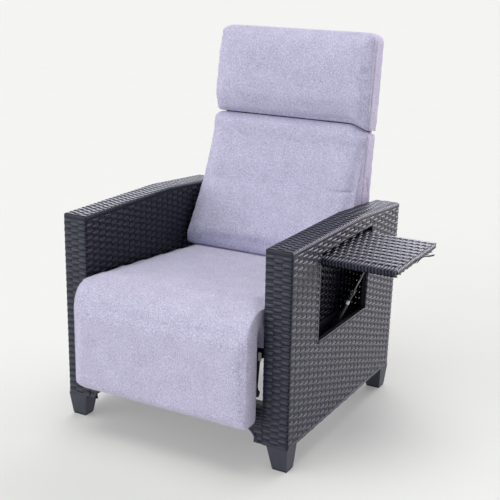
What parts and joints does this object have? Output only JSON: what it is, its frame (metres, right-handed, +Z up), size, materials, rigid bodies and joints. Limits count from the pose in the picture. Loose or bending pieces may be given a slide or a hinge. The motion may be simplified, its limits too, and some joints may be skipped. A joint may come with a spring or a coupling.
{
  "type": "reclining garden armchair",
  "caption": "Push-back reclining garden armchair with woven arms, cushions that roll over the seat front, a lifting footrest and a side table folding out of one arm.",
  "frame": {"origin": "on the floor, midway between the arms and midway along them", "axes": "+X towards the arm with the side table (the sitter's left), +Y to the rear, +Z up"},
  "size_m": [0.9515, 0.826, 1.0603],
  "materials": {
    "rattan_weave": "woven flat strand, slate grey",
    "cushion_fabric": "heathered light lavender grey",
    "rubber": "matte",
    "webbing": "woven elastic webbing",
    "white_label": "plain",
    "footrest_board": "black stained plywood",
    "bright_steel": "zinc plated",
    "black_frame": "black powder coat"
  },
  "bodies": {
    "base": {"arm_weave_left": "rattan_weave", "arm_weave_right": "rattan_weave", "arm_frame_left": "black_frame", "arm_frame_right": "black_frame", "foot_front_left": "black_frame", "foot_front_right": "black_frame", "foot_rear_left": "black_frame", "foot_rear_right": "black_frame", "glide_front_left": "rubber", "glide_front_right": "rubber", "glide_rear_left": "rubber", "glide_rear_right": "rubber", "front_apron": "rattan_weave", "front_rail": "black_frame", "rear_rail": "black_frame", "side_plate_left": "black_frame", "side_plate_right": "black_frame", "side_plate_bolts": "bright_steel", "rocker_base_pins": "bright_steel", "recess_rail": "black_frame", "recess_plate": "bright_steel", "recess_bolts": "bright_steel", "tray_bushes": "rubber", "strut_bracket_arm": "black_frame"},
    "front_rocker": {"rocker_front_left": "black_frame", "rocker_front_right": "black_frame", "rocker_torque_tube": "black_frame"},
    "rear_rocker": {"rocker_rear_left": "black_frame", "rocker_rear_right": "black_frame"},
    "seat": {"seat_frame": "black_frame", "seat_webbing": "webbing", "rocker_seat_pins": "bright_steel", "lift_link_pins": "bright_steel", "footrest_hinge_pins": "bright_steel", "back_hinge_pins": "bright_steel", "seat_cushion": "cushion_fabric", "cushion_nose": "cushion_fabric", "care_label": "white_label"},
    "backrest": {"back_frame": "black_frame", "back_weave": "rattan_weave", "back_cushion": "cushion_fabric", "head_cushion": "cushion_fabric"},
    "footrest": {"footrest_frame": "black_frame", "footrest_board": "footrest_board", "leg_cushion": "cushion_fabric"},
    "lift_links": {"lift_link_left": "black_frame", "lift_link_right": "black_frame", "brace_joint_pins": "bright_steel"},
    "brace_links": {"brace_link_left": "black_frame", "brace_link_right": "black_frame", "brace_end_pins": "bright_steel"},
    "tray": {"tray_weave": "rattan_weave", "tray_frame": "black_frame", "tray_hinge_rod": "bright_steel", "strut_bracket_tray": "black_frame"},
    "strut_body": {"strut_cylinder": "black_frame", "strut_latch": "black_frame", "strut_band": "white_label"},
    "strut_piston": {"strut_rod": "bright_steel"},
    "tab": {"pull_tab": "webbing"}
  },
  "joints": [
    {"name": "back_recline", "type": "hinge", "parent": "seat", "child": "backrest", "pos_m": [0, 0.282, 0.34], "axis": [-1, 0, 0], "range_deg": [0, 34]},
    {"name": "rocker_front_swing", "type": "hinge", "parent": "base", "child": "front_rocker", "pos_m": [0, -0.14, 0.14991], "axis": [1, 0, 0], "range_deg": [0, 34.02]},
    {"name": "seat_level", "type": "hinge", "parent": "front_rocker", "child": "seat", "pos_m": [0, -0.1, 0.28071], "axis": [-1, 0, 0], "range_deg": [0, 34.02]},
    {"name": "rocker_rear_swing", "type": "hinge", "parent": "base", "child": "rear_rocker", "pos_m": [0, 0.17, 0.1266], "axis": [1, 0, 0], "range_deg": [0, 34.02]},
    {"name": "footrest_lift", "type": "hinge", "parent": "seat", "child": "footrest", "pos_m": [0, -0.35, 0.368], "axis": [-1, 0, 0], "range_deg": [0, 80.01], "deforming": ["cushion_nose"]},
    {"name": "lift_link_swing", "type": "hinge", "parent": "seat", "child": "lift_links", "pos_m": [0, -0.27, 0.282], "axis": [-1, 0, 0], "range_deg": [0, 66.42]},
    {"name": "brace_link_swing", "type": "hinge", "parent": "lift_links", "child": "brace_links", "pos_m": [0, -0.28585, 0.17315], "axis": [1, 0, 0], "range_deg": [0, 76.52]},
    {"name": "tray_fold", "type": "hinge", "parent": "base", "child": "tray", "pos_m": [0.34, 0, 0.529], "axis": [0, 1, 0], "range_deg": [0, 90]},
    {"name": "strut_swing", "type": "hinge", "parent": "base", "child": "strut_body", "pos_m": [0.322, -0.011, 0.303], "axis": [0, -1, 0], "range_deg": [0, 24.07]},
    {"name": "strut_slide", "type": "slide", "parent": "strut_body", "child": "strut_piston", "axis": [-0.4138, 0, -0.9104], "range_m": [0, 0.08059]},
    {"name": "tab_swing", "type": "hinge", "parent": "tray", "child": "tab", "pos_m": [0.5555, -0.04, 0.526], "axis": [0, -1, 0], "range_deg": [0, 66.01]}
  ],
  "couplings": [
    {"joint": "rocker_front_swing", "follows": "back_recline", "ratio": 1.0002},
    {"joint": "seat_level", "follows": "back_recline", "ratio": 1.0002},
    {"joint": "rocker_rear_swing", "follows": "back_recline", "ratio": 1.0002},
    {"joint": "footrest_lift", "follows": "back_recline", "ratio": 2.3529},
    {"joint": "lift_link_swing", "follows": "back_recline", "ratio": 1.9532},
    {"joint": "brace_link_swing", "follows": "back_recline", "ratio": 2.2503},
    {"joint": "strut_swing", "follows": "tray_fold", "ratio": 0.26732},
    {"joint": "strut_slide", "follows": "tray_fold", "m_per_rad": 0.051292},
    {"joint": "tab_swing", "follows": "tray_fold", "ratio": 0.73333}
  ]
}
